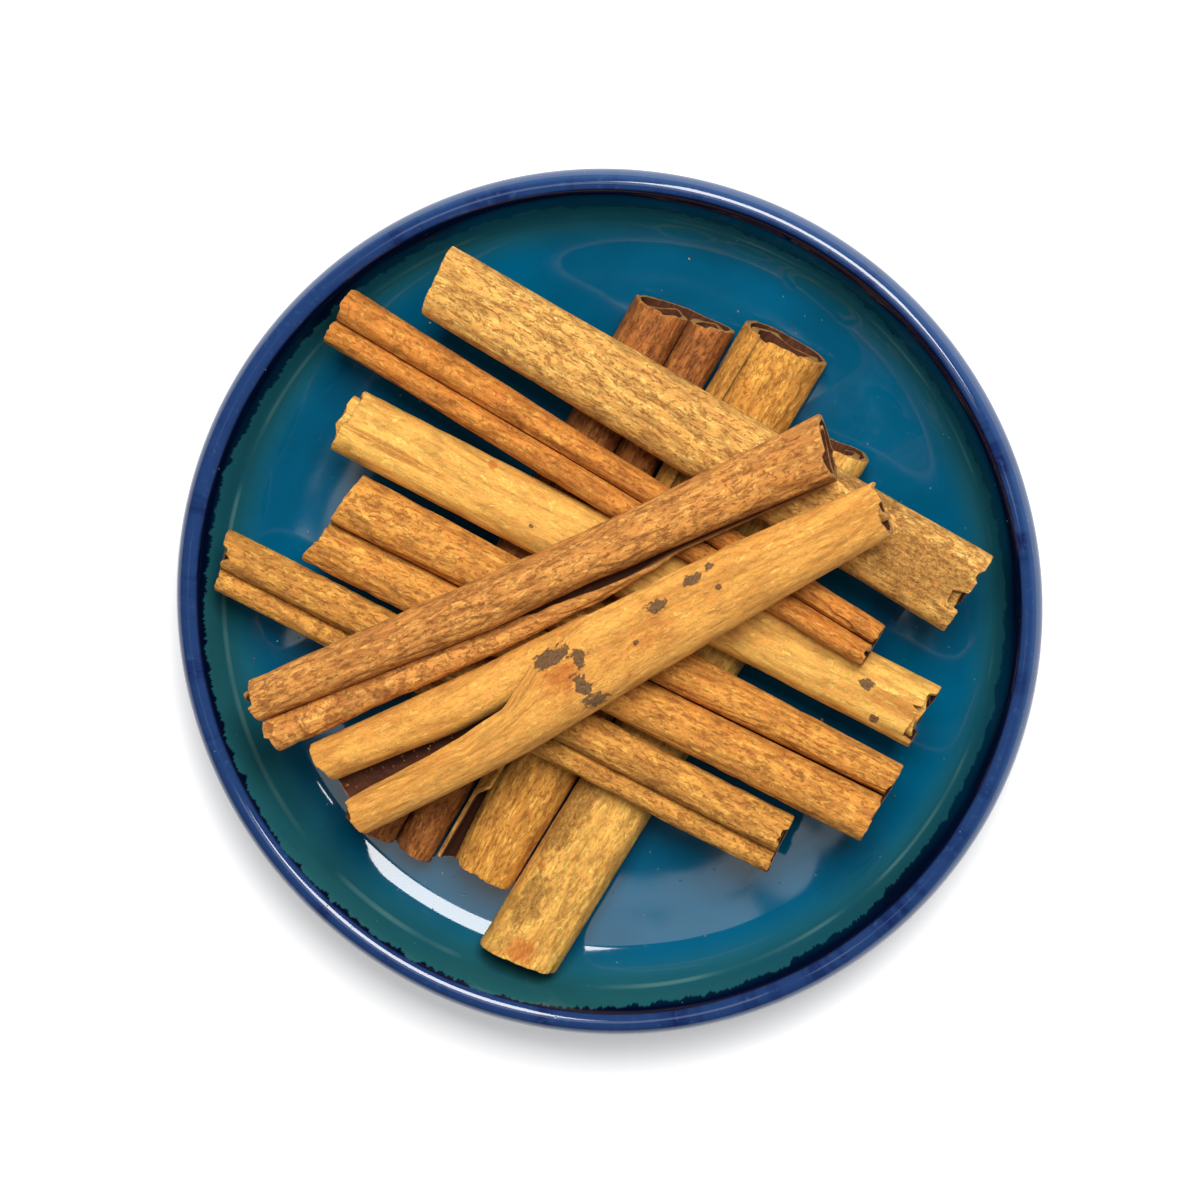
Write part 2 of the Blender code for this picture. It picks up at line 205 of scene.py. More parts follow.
# Each stick: its two ends, the slant of each cut in degrees, the rolled sections from start to
# end as (place along, left and right arcs, width, height, shift to the right), and `seam_down`
# where the seam faces down. Left and right are as seen from above, looking along the stick. Then its
# looks: colours, how deep its ridges are, how strong its streaks and flecks, and its marks.
# A mark is (kind, along, across, half length, half width, strength), a crease is (along, across,
# along, across, depth), a notch is (end, across, half width, depth), and `inner_out` is how far
# the inner windings stand out at the start and at the end.
STICKS = {
    "stick_bottom_left": dict(
        start=(10.0, 37.7, 10.9), end=(-29.4, -31.9, 11.2), slant=(9, 0),
        sections=[(0.0, double_roll(13.6, 0.44), 13.6, 7.4, 0.0),
                  (1.0, double_roll(12.7, 0.42), 12.7, 7.4, 0.0)],
        base=(190, 112, 48), light=(204, 134, 66), dark=(100, 44, 12),
        ridges=0.16, streaks=0.6, flecks=0.55, rake=8),
    "stick_bottom_middle": dict(
        start=(23.2, 34.3, 11.4), end=(-17.8, -35.6, 11.4), slant=(2, 3),
        sections=[(0.0, single_roll(11.9, 8.2, 155.0), 11.9, 8.2, 0.0),
                  (0.86, single_roll(10.8, 8.0, 140.0, 0.4), 10.8, 8.0, 0.0),
                  (0.88, single_roll(10.7, 8.0, 100.0, 0.5), 10.7, 8.0, 0.0),
                  (1.0, single_roll(10.4, 7.8, 95.0, 1.1), 10.4, 7.8, 0.0)],
        base=(226, 156, 62), light=(246, 184, 84), dark=(150, 80, 22),
        ridges=0.16, streaks=0.4, flecks=0.5, rake=8,
        creases=[(4.0, -5.0, 17.0, -4.6, 0.25)]),
    "stick_bottom_right": dict(
        start=(29.2, 21.4, 10.9), end=(-12.1, -46.9, 12.3), slant=(6, 10),
        sections=[(0.0, single_roll(10.4, 7.8), 10.4, 7.8, 0.0),
                  (1.0, single_roll(10.6, 7.6), 10.6, 7.6, 0.0)],
        seam_down=True, base=(246, 182, 84), light=(252, 202, 100), dark=(160, 96, 36),
        ridges=0.1, streaks=0.5, flecks=0.35, rake=8,
        marks=[("grain", 57.0, 4.2, 9.0, 2.6, 0.9), ("grain", 71.5, 2.6, 4.5, 2.0, 0.8),
               ("rust", 78.0, 0.0, 1.9, 2.0, 1.4), ("rust", 66.4, 3.6, 0.9, 0.8, 1.0)]),
    "stick_middle_far": dict(
        start=(-21.3, 42.0, 20.0), end=(46.9, 2.4, 20.0), slant=(7, -3),
        sections=[(0.0, single_roll(9.7, 7.5), 9.7, 7.5, 0.0),
                  (1.0, single_roll(11.7, 8.0), 11.7, 8.0, 0.0)],
        seam_down=True, base=(244, 178, 86), light=(254, 206, 112), dark=(158, 92, 38),
        ridges=0.1, streaks=0.25, flecks=0.62,
        marks=[("grain", 71.5, -0.4, 7.0, 4.2, 1.1), ("grain", 61.0, -5.0, 8.0, 1.0, 0.7)],
        creases=[(30.0, 1.6, 37.5, 1.9, 0.2), (33.0, 2.9, 39.0, 2.6, 0.15)],
        notches=[("end", 0.9, 0.9, 1.9), ("end", -3.0, 0.5, 0.5)]),
    "stick_middle_red": dict(
        start=(-34.4, 37.3, 18.1), end=(35.1, -3.9, 24.8), slant=(0, 3),
        sections=[(0.0, double_roll(8.0, 0.58, 2.0, 1.7), 8.0, 5.4, 0.0),
                  (0.5, double_roll(7.2, 0.48, 1.9, 1.9), 7.2, 5.2, 0.0),
                  (1.0, double_roll(6.1, 0.46, 1.6, 1.7), 6.1, 4.8, 0.0)],
        base=(222, 138, 52), light=(236, 166, 74), dark=(140, 66, 16),
        ridges=0.14, streaks=0.6, flecks=0.45,
        creases=[(71.5, -1.9, 75.0, -1.0, 0.3), (75.0, -1.0, 80.9, -0.3, 0.35)]),
    "stick_middle_pale": dict(
        start=(-33.0, 23.9, 19.2), end=(41.4, -13.5, 19.2), slant=(-3, -2),
        sections=[(0.0, single_roll(8.9, 6.8), 8.9, 6.8, 0.0),
                  (1.0, single_roll(9.0, 6.8), 9.0, 6.8, 0.0)],
        seam_down=True, base=(246, 180, 84), light=(252, 204, 102), dark=(182, 114, 44),
        ridges=0.1, streaks=0.5, flecks=0.12,
        marks=[("streak", 8.0, 0.4, 8.0, 0.7, 1.0), ("rust", 19.4, -3.9, 0.55, 0.5, 2.0),
               ("crust", 27.6, 0.9, 0.3, 0.25, 1.6), ("crust", 74.6, -0.8, 0.7, 0.6, 2.0),
               ("crust", 77.6, 2.9, 0.5, 0.6, 2.0), ("streak", 79.0, -0.2, 4.5, 1.1, 1.0)],
        notches=[("end", -2.2, 1.1, 0.9), ("end", 1.0, 2.2, 1.3), ("start", -2.2, 2.0, 0.5)],
        inner_out=(1.1, 0.0)),
    "stick_middle_broad": dict(
        start=(-35.0, 11.4, 19.7), end=(36.0, -24.7, 19.7), slant=(-9, -3),
        sections=[(0.0, double_roll(13.7, 0.55), 13.7, 7.4, 0.0),
                  (0.6, double_roll(12.0, 0.47), 12.0, 7.2, 0.0),
                  (1.0, double_roll(11.2, 0.4, 2.2, 2.4), 11.2, 7.0, 0.0)],
        base=(230, 154, 64), light=(246, 182, 84), dark=(148, 76, 24),
        ridges=0.2, streaks=0.4, flecks=0.5,
        marks=[("crust", 4.9, -3.0, 0.9, 0.8, 0.3), ("rust", 52.0, -2.0, 9.0, 2.0, 0.5)]),
    "stick_middle_near": dict(
        start=(-49.7, 5.7, 18.6), end=(23.0, -30.5, 18.7), slant=(11, 0),
        sections=[(0.0, double_roll(8.2, 0.63, 2.2, 1.5), 8.2, 5.4, 0.0),
                  (1.0, double_roll(8.6, 0.63, 2.2, 1.5), 8.6, 5.4, 0.0)],
        base=(220, 152, 64), light=(244, 182, 84), dark=(150, 82, 30),
        ridges=0.14, streaks=0.4, flecks=0.55,
        notches=[("start", -1.3, 0.7, 0.8), ("end", -1.6, 0.8, 0.5)]),
    "stick_top_far": dict(
        start=(-43.0, -13.8, 25.6), end=(29.8, 21.2, 30.0), slant=(-3, -12),
        sections=[(0.0, double_roll(10.0, 0.55, 2.4, 2.0), 10.0, 6.6, 0.0),
                  (0.4, double_roll(9.8, 0.69, 2.4, 1.7), 9.8, 7.2, 0.5),
                  (0.58, tucked_roll(3.1, 2.0, 1.3, 160.0), 9.0, 7.2, 0.3),
                  (0.72, tucked_roll(3.2, 0.4, 3.6, 50.0), 7.8, 7.0, -0.4),
                  (1.0, tucked_roll(3.6, 0.4, 4.2, 40.0), 8.9, 7.5, -0.5)],
        base=(224, 150, 70), light=(244, 178, 90), dark=(142, 74, 28),
        ridges=0.26, streaks=0.6, flecks=0.55, inner_out=(1.8, 0.0)),
    "stick_top_near": dict(
        start=(-33.8, -23.3, 24.4), end=(36.4, 14.4, 31.7), slant=(3, -5),
        sections=[(0.0, open_hooks(4.0, 2.6, 2.35), 13.6, 6.2, 0.0),
                  (0.23, lapped_hooks(2.9, 2.9, 2.9, 0.2, 50.0), 12.9, 6.9, 0.6),
                  (0.32, lapped_hooks(2.5, 2.7, 3.3, 1.4, 20.0), 12.5, 7.5, 0.7),
                  (0.4, lapped_hooks(2.0, 2.6, 3.7, 3.0, 30.0), 12.0, 7.9, 0.5),
                  (0.5, lapped_hooks(1.5, 2.7, 3.75, 3.3, 50.0), 11.3, 7.9, 0.3),
                  (0.75, lapped_hooks(0.9, 2.7, 3.7, 2.6, 65.0), 9.7, 7.6, -0.2),
                  (1.0, lapped_hooks(0.4, 2.2, 3.0, 1.2, 65.0), 7.4, 6.6, 0.0)],
        base=(236, 166, 74), light=(250, 188, 92), dark=(190, 112, 44),
        ridges=0.08, streaks=0.15, flecks=0.22,
        marks=[("rust", 34.5, 0.0, 4.5, 3.6, 0.9), ("rust", 46.0, 0.8, 9.0, 3.0, 0.55),
               ("rust", 65.0, -2.5, 7.0, 1.8, 0.5), ("crust", 34.2, -2.6, 2.6, 1.1, 1.5),
               ("crust", 37.6, -1.0, 1.0, 1.4, 1.2), ("crust", 36.2, 2.4, 1.0, 1.5, 1.4),
               ("crust", 36.6, 4.9, 2.0, 0.9, 1.2), ("crust", 49.3, -2.2, 1.8, 0.9, 0.9),
               ("crust", 54.9, -3.2, 1.3, 0.8, 1.2), ("crust", 57.4, -3.6, 0.7, 0.4, 1.3),
               ("crust", 57.7, -0.7, 0.35, 0.35, 1.4), ("crust", 45.0, 0.6, 0.6, 0.4, 0.8)],
        inner_out=(0.0, 1.2)),
}

LENGTHWISE_STATIONS = 121
FINE_STEP = 0.1      # between the places that a section's mesh is chosen from, in mm
SHOWN_MARGIN = 9     # fine steps meshed closely round a place that shows
END_STEPS = (0.0, 0.05, 0.12, 0.22, 0.36, 0.54, 0.78, 1.08)


def blended(first, second, share):
    """The arcs part way from one section to the next, arc by arc, as lengths and turns."""
    longest = max(len(first), len(second))
    first = np.array(first + [(0.05, 1.0)] * (longest - len(first)))
    second = np.array(second + [(0.05, 1.0)] * (longest - len(second)))
    mix = first + (second - first) * share
    return mix[:, 0], np.radians(mix[:, 1])


def traced(lengths, turns, arc, part):
    """Points and headings at places on one half, each given as an arc and the part along it."""
    headings = np.concatenate([[0.0], np.cumsum(turns)[:-1]])
    chords = lengths * np.sinc(turns / (2 * math.pi))
    steps = np.stack([chords * np.cos(headings + turns / 2),
                      chords * np.sin(headings + turns / 2)], axis=1)
    corners = np.concatenate([[[0.0, 0.0]], np.cumsum(steps, axis=0)[:-1]])
    turned = turns[arc] * part
    chord = lengths[arc] * part * np.sinc(turned / (2 * math.pi))
    toward = headings[arc] + turned / 2
    points = corners[arc] + np.stack([chord * np.cos(toward), chord * np.sin(toward)], axis=1)
    return points, headings[arc] + turned


def section_at(stick, share, places):
    """The sheet's middle line and its outward normals at one place along the stick, in mm."""
    sections = stick["sections"]
    index = 0
    while index < len(sections) - 2 and share > sections[index + 1][0]:
        index += 1
    before, after = sections[index], sections[index + 1]
    local = (share - before[0]) / (after[0] - before[0])
    width, height, shift = (before[k] + (after[k] - before[k]) * local for k in (2, 3, 4))
    points, normals = [], []
    for side, sign in ((0, -1), (1, 1)):
        lengths, turns = blended(before[1][side], after[1][side], local)
        arc, part = places[side]
        line, heading = traced(lengths, turns, arc, part)
        points.append(line * (sign, 1))
        normals.append(np.stack([sign * np.sin(heading), -np.cos(heading)], axis=1))
    points = np.concatenate([points[0][::-1], points[1]])
    normals = np.concatenate([normals[0][::-1], normals[1]])
    low, high = points.min(axis=0), points.max(axis=0)
    scale = (np.array([width, height]) - BARK) / (high - low)
    if stick.get("seam_down"):
        scale = scale * (1, -1)
    points = (points - (low + high) / 2) * scale + (shift, 0)
    normals = normals / scale
    return points, normals / np.linalg.norm(normals, axis=1)[:, None]


def shows_from_above(points, normals):
    """Which places of a section have nothing of the sheet above them."""
    outer = points + normals * BARK / 2
    across = outer[:, 0]
    near = np.abs(across[:, None] - across[None, :]) < 0.5
    higher = outer[None, :, 1] > outer[:, None, 1] + 0.5
    return ~(near & higher).any(axis=1)


def even_places(arcs_of_half, step):
    """Places on one half every `step` mm, as arc numbers and parts along the arcs."""
    arc, part = [], []
    for index, length in enumerate(arcs_of_half):
        count = max(1, math.ceil(length / step))
        arc += [index] * count
        part += list((np.arange(count) + 1) / count)
    return np.array(arc), np.array(part)


def sampled_places(stick, close, wide):
    """Places on both halves, close together where the sheet shows and wide apart elsewhere."""
    halves = []
    for side in (0, 1):
        longest = max(len(section[1][side]) for section in stick["sections"])
        lengths = [max(s[1][side][k][0] for s in stick["sections"] if k < len(s[1][side]))
                   for k in range(longest)]
        halves.append(even_places(lengths, FINE_STEP))
    shown = 0
    for share in (0.0, 0.2, 0.4, 0.6, 0.8, 1.0):
        shown = shown + shows_from_above(*section_at(stick, share, halves)).astype(float)
    shown = np.convolve(shown, np.ones(SHOWN_MARGIN), mode="same") > 0
    count = len(halves[0][0])
    chosen = []
    for side, flags in ((0, shown[:count][::-1]), (1, shown[count:])):
        arc, part = halves[side]
        need = np.cumsum(np.where(flags, FINE_STEP / close, FINE_STEP / wide))
        keep = np.unique(np.searchsorted(need, np.arange(0.5, need[-1], 1.0)))
        keep = np.union1d(keep, [len(arc) - 1])
        chosen.append((arc[keep], part[keep]))
    return chosen


# ---------------------------------------------------------------- relief

BROAD_DIP = (13.0, 5.0)      # length along and width across of each kind of relief, in mm
GROOVE = (7.5, 0.95)
POCK = (1.5, 0.6)
INNER_DIP = 0.12             # depth of the relief on the inner side
SEAM_BULGE = 0.13            # the walls of a seam stand out to meet each other
WORN_EDGE = 0.1              # how far a broken edge is worn down
WORN_WIDTH = 0.12
CUT_WIDTH = 0.05             # of the pale band at a broken end
CREASE_WIDTH = 0.17
THINNEST = 0.12              # least thickness left to the sheet
TIP = 0.2                    # how far the sheet's long edges are rounded out
INNER_SIDE_UV = 30.0         # sets the inner side's texture apart from the outer side's

def bumps(along, across, seed, size=64):
    """Smooth random heights from -1 to 1, with one bump to each unit of along and across."""
    table = np.random.default_rng(seed).uniform(-1, 1, (size, size))
    column, row = np.floor(along).astype(int), np.floor(across).astype(int)
    x, y = along - column, across - row
    x, y = x * x * (3 - 2 * x), y * y * (3 - 2 * y)
    column, row = column % size, row % size
    right, up = (column + 1) % size, (row + 1) % size
    low = table[column, row] * (1 - x) + table[right, row] * x
    high = table[column, up] * (1 - x) + table[right, up] * x
    return low * (1 - y) + high * y


def layered_bumps(along, across, seed, layers=2):
    """Bumps with finer and shallower ones added, still from -1 to 1."""
    total, weight = 0.0, 0.0
    for layer in range(layers):
        part = 0.5 ** layer
        total = total + part * bumps(along * 2 ** layer, across * 2 ** layer, seed + 17 * layer)
        weight += part
    return total / weight


def window(value, low, high, soft):
    """1 between low and high, falling to 0 over `soft` on each side."""
    rise = np.clip((value - low) / soft + 1, 0, 1)
    fall = np.clip((high - value) / soft + 1, 0, 1)
    return rise * rise * (3 - 2 * rise) * fall * fall * (3 - 2 * fall)


def broken_end(stick, which, sheet, across, top, wound, seed, raggedness):
    """How far the sheet stops short of its nominal end at each place, in mm."""
    trim = raggedness * (0.9 * bumps(sheet / 3.1, sheet * 0, seed)
                         + 0.45 * bumps(sheet / 0.9, sheet * 0, seed + 1)
                         + 0.25 * bumps(sheet / 0.35, sheet * 0, seed + 2))
    trim = trim + raggedness
    inner_out = stick.get("inner_out", (0.0, 0.0))[0 if which == "start" else 1]
    trim = trim + wound * (0.5 - inner_out + 0.5 * bumps(sheet / 1.3, sheet * 0, seed + 3))
    for end, centre, half_width, depth in stick.get("notches", []):
        if end == which:
            trim = trim + depth * top * window(across, centre - half_width, centre + half_width, 0.3)
    return trim


def stick_sheet(stick, seed, bark):
    """The outer and inner surfaces of one stick as grids of points, with what its finish needs."""
    thickness = bark.thickness / MM
    places = sampled_places(stick, bark.close_spacing / MM, bark.wide_spacing / MM)
    start, end = Vector(stick["start"]), Vector(stick["end"])
    length = (end - start).length
    stations = np.linspace(0.0, 1.0, LENGTHWISE_STATIONS)
    lines, normals = zip(*(section_at(stick, share, places) for share in stations))
    lines, normals = np.array(lines), np.array(normals)

    # Distance over the sheet from the middle of its underside, taken half way along.
    middle = lines[LENGTHWISE_STATIONS // 2]
    steps = np.linalg.norm(np.diff(middle, axis=0), axis=1)
    sheet = np.concatenate([[0.0], np.cumsum(steps)])
    sheet -= sheet[len(places[0][0])]

    # The ends, where notches are placed by how far across the top they lie.
    arcs = np.concatenate([places[0][0][::-1], places[1][0]])
    wound = np.clip(arcs - 1.5, 0, 1)
    ends = []
    for which, station, shift in (("start", 0, 11), ("end", -1, 23)):
        top = shows_from_above(lines[station], normals[station]).astype(float)
        across = lines[station][:, 0]
        ends.append(broken_end(stick, which, sheet, across, top, wound, seed + shift,
                               bark.raggedness / MM))

    # A raked cut sets the top of the start back from its underside.
    rake = math.tan(math.radians(stick.get("rake", 0)))
    ends[0] = ends[0] + rake * (lines[0][:, 1] - lines[0][:, 1].min())

    near_end = np.array(END_STEPS)
    rings = int(round((length - 2 * near_end[-1]) / (bark.ring_spacing / MM)))
    inside = np.linspace(near_end[-1], length - near_end[-1], rings + 1)
    nominal = np.concatenate([near_end[:-1], inside, length - near_end[-2::-1]])[:, None]
    along = nominal + ends[0] * (1 - nominal / length) - ends[1] * (nominal / length)

    # The section at each point's own place along the stick.
    place = np.clip(along / length, 0, 1) * (LENGTHWISE_STATIONS - 1)
    before = np.minimum(place.astype(int), LENGTHWISE_STATIONS - 2)
    mix = (place - before)[..., None]
    column = np.arange(lines.shape[1])[None, :]
    line = lines[before, column] * (1 - mix) + lines[before + 1, column] * mix
    normal = normals[before, column] * (1 - mix) + normals[before + 1, column] * mix
    normal /= np.linalg.norm(normal, axis=2)[..., None]

    # Relief, always cut into the sheet so that it stays inside its solid.
    over = sheet[None, :] + 0 * along
    broad = bark.wobble / MM * (0.5 + 0.5 * layered_bumps(
        along / BROAD_DIP[0], over / BROAD_DIP[1], seed + 31))
    bend = 0.8 * bumps(along / 9.0, over / 6.0, seed + 5)
    groove = 1 - 2.2 * np.abs(layered_bumps(
        along / GROOVE[0], (over + bend) / GROOVE[1], seed + 37))
    groove = np.clip(groove, 0, 1) ** 2
    pock = layered_bumps(along / POCK[0], (over + bend) / POCK[1], seed + 41)
    pock = np.clip(pock, 0, 1)
    ridges = stick["ridges"]
    facing_up = np.clip(normal[..., 1] * 3, 0, 1)
    in_seam = np.clip(arcs - 0.5, 0, 1) * np.clip(1 - facing_up, 0, 1)
    recess = (broad + ridges * groove + 0.35 * ridges * pock) * (1 - in_seam)
    recess = recess - SEAM_BULGE * in_seam
    outer_line = line[..., 0] + normal[..., 0] * thickness / 2
    crack = np.zeros_like(along)
    for a0, x0, a1, x1, depth in stick.get("creases", []):
        share = (along - a0) / (a1 - a0)
        path = x0 + (x1 - x0) * share + 0.25 * bumps(along / 1.1, along * 0, seed + 7)
        depth_here = depth * window(along, a0, a1, 0.8) * facing_up
        crack = np.maximum(crack, depth_here * np.exp(-((outer_line - path) / CREASE_WIDTH) ** 2))
    recess = recess + crack
    edge = np.minimum(nominal, length - nominal)
    worn = WORN_EDGE * np.exp(-edge / WORN_WIDTH)
    outer = thickness / 2 - np.minimum(recess + worn, thickness * 0.8)
    dips = layered_bumps(along / 3.0, over, seed + 43)
    inner = INNER_DIP * (0.5 + 0.5 * dips) - thickness / 2
    inner = np.minimum(inner, outer - THINNEST)

    # relief marks the grooves, pocks and cracks; the material darkens the bark's colour there as
    # painted shade.
    looks = dict(relief=np.clip(0.75 * groove + 0.35 * pock + crack / 0.2, 0, 1),
                 cut=np.exp(-edge / CUT_WIDTH) + 0 * along)
    for kind in ("crust", "rust", "grain", "streak"):
        looks[kind] = np.zeros_like(along)
    for kind, a, x, half_length, half_width, strength in stick.get("marks", []):
        distance = ((along - a) / half_length) ** 2 + ((outer_line - x) / half_width) ** 2
        mark = strength * np.exp(-distance) * facing_up
        looks[kind] = np.maximum(looks[kind], mark)
    return dict(line=line, normal=normal, outer=outer, inner=inner, along=along, over=over,
                looks=looks, length=length, start=start, end=end)


def placed(stick, grid, offset):
    """Grid points in the frame, in metres, at `offset` mm from the sheet's middle line."""
    forward = np.array((grid["end"] - grid["start"]).normalized())
    sideways = np.cross((0.0, 0.0, 1.0), forward)
    sideways /= np.linalg.norm(sideways)
    upward = np.cross(forward, sideways)
    point = grid["line"] + grid["normal"] * offset[..., None]
    share = grid["along"] / grid["length"]
    slant = np.tan(np.radians(stick["slant"][0] * (1 - share) + stick["slant"][1] * share))
    along = grid["along"] + grid["line"][..., 0] * slant
    place = (np.array(grid["start"]) + along[..., None] * forward
             - point[..., :1] * sideways + point[..., 1:] * upward)
    return place * MM


def stick_mesh(name, stick, seed, bark):
    """One closed sheet: outer side, inner side at half the density, rolled edges and both ends."""
    grid = stick_sheet(stick, seed, bark)
    outer = placed(stick, grid, grid["outer"])
    rings, places = outer.shape[:2]
    inner_columns = np.unique(np.append(np.arange(0, places, 2), places - 1))
    inner = placed(stick, grid, grid["inner"])[:, inner_columns]
    half = (grid["outer"] + grid["inner"]) / 2
    tips = placed(stick, grid, half)[:, [0, -1]]
    inward = placed(stick, grid, half)[:, [1, -2]]
    tips = tips + (tips - inward) / np.linalg.norm(
        tips - inward, axis=2)[..., None] * TIP * MM

    # Each ring runs over the outer side, round the right edge, back inside and round the left.
    loop = np.concatenate([outer, tips[:, 1:], inner[:, ::-1], tips[:, :1]], axis=1)
    count = loop.shape[1]
    first = np.arange(rings - 1)[:, None] * count + np.arange(count)[None, :]
    second = np.roll(first, -1, axis=1)
    faces = np.stack([first, first + count, second + count, second], axis=2)
    faces = faces.reshape(-1, 4).tolist()
    inner_index = places + len(inner_columns) - np.arange(len(inner_columns))
    for ring, turned in ((0, False), (rings - 1, True)):
        base = ring * count
        caps = [[0, inner_index[0], count - 1]]
        for k in range(len(inner_columns) - 1):
            lower, upper = inner_columns[k], inner_columns[k + 1]
            caps.append([*range(lower, upper + 1), inner_index[k + 1], inner_index[k]])
        caps.append([places - 1, places, inner_index[-1]])
        for cap in caps:
            corners = [base + int(corner) for corner in cap]
            faces.append(corners[::-1] if turned else corners)
    mesh = bpy.data.meshes.new(name)
    mesh.from_pydata(loop.reshape(-1, 3), [], faces)

    def around(field):
        """A field of the outer side carried over to the whole loop."""
        field = np.broadcast_to(field, (rings, places))
        ends = field[:, [0, -1]]
        inside = field[:, inner_columns][:, ::-1]
        return np.concatenate([field, ends[:, 1:], inside, ends[:, :1]], axis=1)

    side = np.concatenate([np.zeros(places), [0.5], np.ones(len(inner_columns)), [0.5]])
    side = np.broadcast_to(side, (rings, count))
    tip = np.zeros(count)
    tip[[places, count - 1]] = 0.8
    looks = {key: around(field) for key, field in grid["looks"].items()}
    looks["cut"] = np.maximum(looks["cut"], tip[None, :])
    paint(mesh, "sheet", looks["relief"], side, looks["cut"])
    paint(mesh, "stains", looks["crust"], looks["rust"], looks["grain"])
    paint(mesh, "veins", looks["streak"], 0 * side, 0 * side)
    across_uv = around(grid["over"])
    across_uv[:, places + 1:-1] += INNER_SIDE_UV
    uv = np.stack([around(grid["along"]), across_uv], axis=2).reshape(-1, 2) * 0.01
    layer = mesh.uv_layers.new(name="bark")
    corners = np.empty(len(mesh.loops), dtype=np.int32)
    mesh.loops.foreach_get("vertex_index", corners)
    layer.data.foreach_set("uv", uv[corners].astype(np.float32).ravel())
    mesh.validate()
    mesh.shade_smooth()
    mesh.set_sharp_from_angle(angle=math.radians(60))
    return mesh


def paint(mesh, name, red, green, blue):
    """Stores three fields, one value to a point, as a colour attribute that a material reads."""
    layer = mesh.color_attributes.new(name=name, type="FLOAT_COLOR", domain="POINT")
    colours = np.stack([red, green, blue, np.ones_like(red)], axis=-1)
    layer.data.foreach_set("color", colours.astype(np.float32).ravel())


# ---------------------------------------------------------------- shader helpers

def add(tree, kind, inputs=None, **settings):
    """A shader node with its settings, and with each input given a value or a link."""
    made = tree.nodes.new("ShaderNode" + kind)
    for key, value in settings.items():
        setattr(made, key, value)
    for key, value in (inputs or {}).items():
        if isinstance(value, bpy.types.NodeSocket):
            tree.links.new(value, made.inputs[key])
        else:
            made.inputs[key].default_value = value
    return made


def mixed(tree, share, first, second, blend="MIX"):
    """Two colours mixed; each is a socket or three numbers."""
    values = [(*v, 1.0) if isinstance(v, tuple) else v for v in (first, second)]
    return add(tree, "Mix", {0: share, 6: values[0], 7: values[1]},
               data_type="RGBA", blend_type=blend).outputs[2]


def worked(tree, operation, first, second=0.0, third=0.0):
    return add(tree, "Math", {0: first, 1: second, 2: third}, operation=operation).outputs[0]


def times(tree, first, second):
    return worked(tree, "MULTIPLY", first, second)


def scaled(tree, value, factor, offset):
    return worked(tree, "MULTIPLY_ADD", value, factor, offset)


def flipped(tree, value):
    return worked(tree, "SUBTRACT", 1.0, value)


def vectors(tree, operation, first, second=(0.0, 0.0, 0.0)):
    return add(tree, "VectorMath", {0: first, 1: second}, operation=operation).outputs


def part_way(first, second, share):
    """A fixed colour part of the way from one to another."""
    return tuple(one + (other - one) * share for one, other in zip(first, second))


def dimmed(colour, factor):
    return tuple(factor * one for one in colour)


def between(tree, value, low, high):
    """0 below low, 1 above high, with a soft step between."""
    return add(tree, "MapRange", {"Value": value, "From Min": low, "From Max": high},
               interpolation_type="SMOOTHSTEP").outputs["Result"]


def noise(tree, vector, scale=1.0, detail=4.0, roughness=0.6, distortion=0.0):
    return add(tree, "TexNoise", {"Vector": vector, "Scale": scale, "Detail": detail,
                                  "Roughness": roughness, "Distortion": distortion}).outputs[0]


def new_material(name):
    made = bpy.data.materials.new(name)
    made.use_nodes = True
    return made, made.node_tree, made.node_tree.nodes["Principled BSDF"]


def fields(tree, attribute):
    """The three fields that `paint` stored under a name."""
    source = add(tree, "VertexColor", layer_name=attribute)
    return add(tree, "SeparateColor", {0: source.outputs["Color"]}).outputs


# ---------------------------------------------------------------- bark

